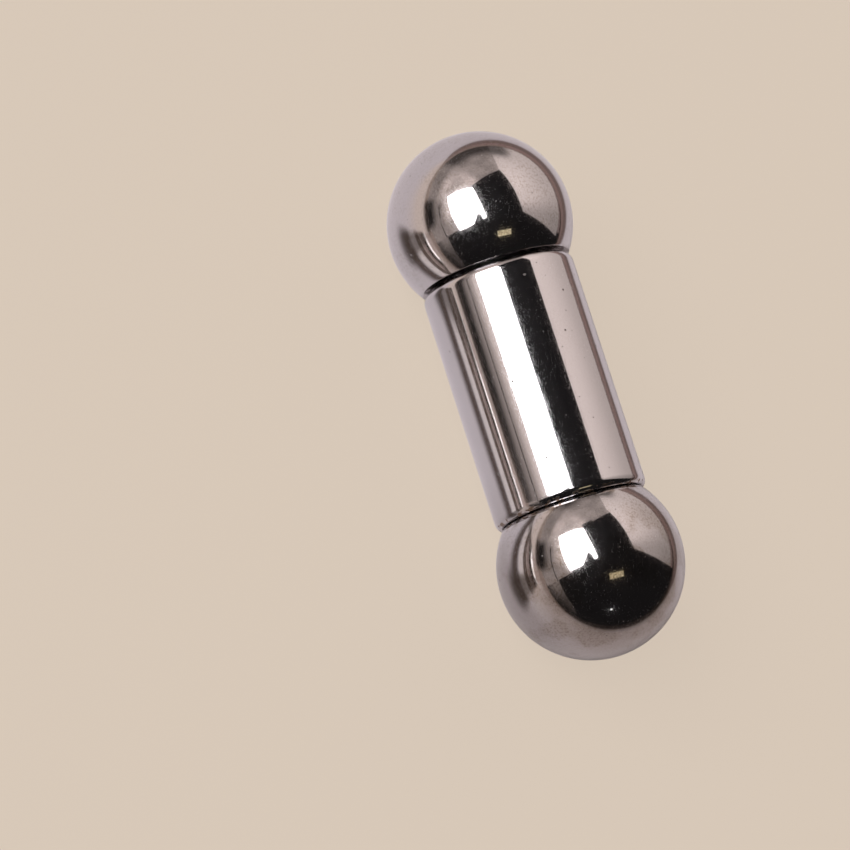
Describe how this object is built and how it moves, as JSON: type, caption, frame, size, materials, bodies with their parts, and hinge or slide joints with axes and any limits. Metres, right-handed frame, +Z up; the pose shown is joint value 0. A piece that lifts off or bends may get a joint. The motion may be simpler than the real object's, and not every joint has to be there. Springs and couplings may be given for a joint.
{
  "type": "straight barbell",
  "caption": "Straight barbell, body jewellery for a stretched piercing: a heavy round bar closed at each end by a larger polished ball that unscrews on a threaded stud.",
  "frame": {"origin": "on the surface that it lies on, under the middle of the bar", "axes": "+X along the bar's axis, towards the right ball, which is the nearer one in the picture's view; +Z up"},
  "size_m": [0.0354, 0.012, 0.012],
  "materials": {
    "polished_steel": "mirror polished surgical steel with fine handling scratches and small pits",
    "turned_steel": "machined steel of the threads"
  },
  "bodies": {
    "bar": {"bar": "polished_steel"},
    "left_stud": {"left_stud": "turned_steel"},
    "left_ball": {"left_ball": "polished_steel"},
    "right_stud": {"right_stud": "turned_steel"},
    "right_ball": {"right_ball": "polished_steel"}
  },
  "joints": [
    {"name": "left_thread_slide", "type": "slide", "parent": "bar", "child": "left_stud", "axis": [-1, 0, 0], "range_m": [0, 0.005]},
    {"name": "left_ball_turn", "type": "hinge", "parent": "left_stud", "child": "left_ball", "pos_m": [-0.01165, 0, 0.006], "axis": [-1, 0, 0], "range_deg": [0, 1800]},
    {"name": "right_thread_slide", "type": "slide", "parent": "bar", "child": "right_stud", "axis": [1, 0, 0], "range_m": [0, 0.005]},
    {"name": "right_ball_turn", "type": "hinge", "parent": "right_stud", "child": "right_ball", "pos_m": [0.01165, 0, 0.006], "axis": [1, 0, 0], "range_deg": [0, 1800]}
  ],
  "couplings": [
    {"joint": "left_ball_turn", "follows": "left_thread_slide", "rad_per_m": 6283.2},
    {"joint": "right_ball_turn", "follows": "right_thread_slide", "rad_per_m": 6283.2}
  ]
}
